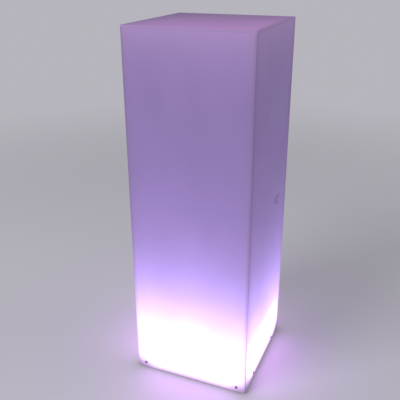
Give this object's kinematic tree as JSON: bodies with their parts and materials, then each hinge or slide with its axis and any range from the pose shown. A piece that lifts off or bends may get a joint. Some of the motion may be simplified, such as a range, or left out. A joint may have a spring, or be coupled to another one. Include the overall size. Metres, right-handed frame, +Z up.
{
  "type": "led acrylic plinth",
  "caption": "Tall square display plinth: a glowing opal acrylic cover screwed to a base board on rubber feet, with a light ring, battery and underside controls.",
  "frame": {"origin": "on the ground, under the middle of the plinth", "axes": "+Z up along the plinth's height, +X along the front to the right, -Y the front"},
  "size_m": [0.3102, 0.3102, 0.9],
  "materials": {
    "opal_acrylic": "satin opal acrylic sheet, lit violet from inside",
    "dark_screw": "blackened steel, cross recess",
    "white_board": "white-faced board",
    "foot_rubber": "matte moulded rubber",
    "zinc_steel": "zinc plated",
    "rail_aluminium": "mill finish",
    "strip_film": "white circuit film",
    "light_chip": "clear resin over a pale body",
    "wire_cover": "thin wire cover",
    "lead_sheath": "satin round sheath",
    "connector_plastic": "moulded",
    "clip_nylon": "natural nylon",
    "case_plastic": "fine moulded grain",
    "cell_wrap": "shrink film",
    "nickel_strip": "plain nickel strip",
    "circuit_green": "lacquered",
    "chip_black": "moulded",
    "switch_black": "polished moulding",
    "bright_brass": "plain",
    "nut_nickel": "nickel plated",
    "cap_rubber": "soft matte",
    "button_grey": "moulded",
    "lamp_clear": "clear light guide"
  },
  "bodies": {
    "base": {"back_panel": "opal_acrylic", "base_board": "white_board", "battery_case": "case_plastic", "battery_cells": "cell_wrap", "battery_clamps": "zinc_steel", "battery_lead": "lead_sheath", "battery_lid": "case_plastic", "cell_guard_board": "circuit_green", "cell_links": "nickel_strip", "charge_lamp": "lamp_clear", "charge_socket": "switch_black", "circuit_board": "circuit_green", "circuit_chips": "chip_black", "circuit_screws": "zinc_steel", "clamp_screws": "zinc_steel", "clip_screws": "zinc_steel", "control_housing": "case_plastic", "control_plate": "case_plastic", "corner_leads": "wire_cover", "cover_screws": "dark_screw", "feed_lead": "lead_sheath", "feed_plug": "connector_plastic", "foot_screws": "zinc_steel", "foot_washers": "zinc_steel", "front_panel": "opal_acrylic", "housing_screws": "zinc_steel", "inner_wires": "wire_cover", "lead_clips": "clip_nylon", "lead_grommets": "foot_rubber", "led_chips_back": "light_chip", "led_chips_front": "light_chip", "led_chips_left": "light_chip", "led_chips_right": "light_chip", "led_rail_back": "rail_aluminium", "led_rail_front": "rail_aluminium", "led_rail_left": "rail_aluminium", "led_rail_right": "rail_aluminium", "led_strip_back": "strip_film", "led_strip_front": "strip_film", "led_strip_left": "strip_film", "led_strip_right": "strip_film", "left_panel": "opal_acrylic", "plate_screws": "zinc_steel", "rail_screws": "zinc_steel", "right_panel": "opal_acrylic", "rocker_body": "switch_black", "rocker_tabs": "bright_brass", "rubber_feet": "foot_rubber", "smoothing_capacitor": "chip_black", "socket_lugs": "bright_brass", "socket_nut": "nut_nickel", "socket_pin": "bright_brass", "tact_switch": "chip_black", "top_panel": "opal_acrylic", "wire_terminals": "connector_plastic"},
    "rocker": {"rocker_paddle": "switch_black"},
    "button": {"mode_button": "button_grey", "tact_plunger": "chip_black"},
    "cap": {"socket_cap": "cap_rubber"}
  },
  "joints": [
    {"name": "rocker_tilt", "type": "hinge", "parent": "base", "child": "rocker", "pos_m": [-0.04, 0.0416, 0.0195], "axis": [-1, 0, 0], "range_deg": [0, 24]},
    {"name": "button_press", "type": "slide", "parent": "base", "child": "button", "axis": [0, 0, 1], "range_m": [0, 0.001], "stiffness_N_per_m": 800},
    {"name": "cap_pull", "type": "slide", "parent": "base", "child": "cap", "axis": [0, 0, -1], "range_m": [0, 0.008]}
  ]
}
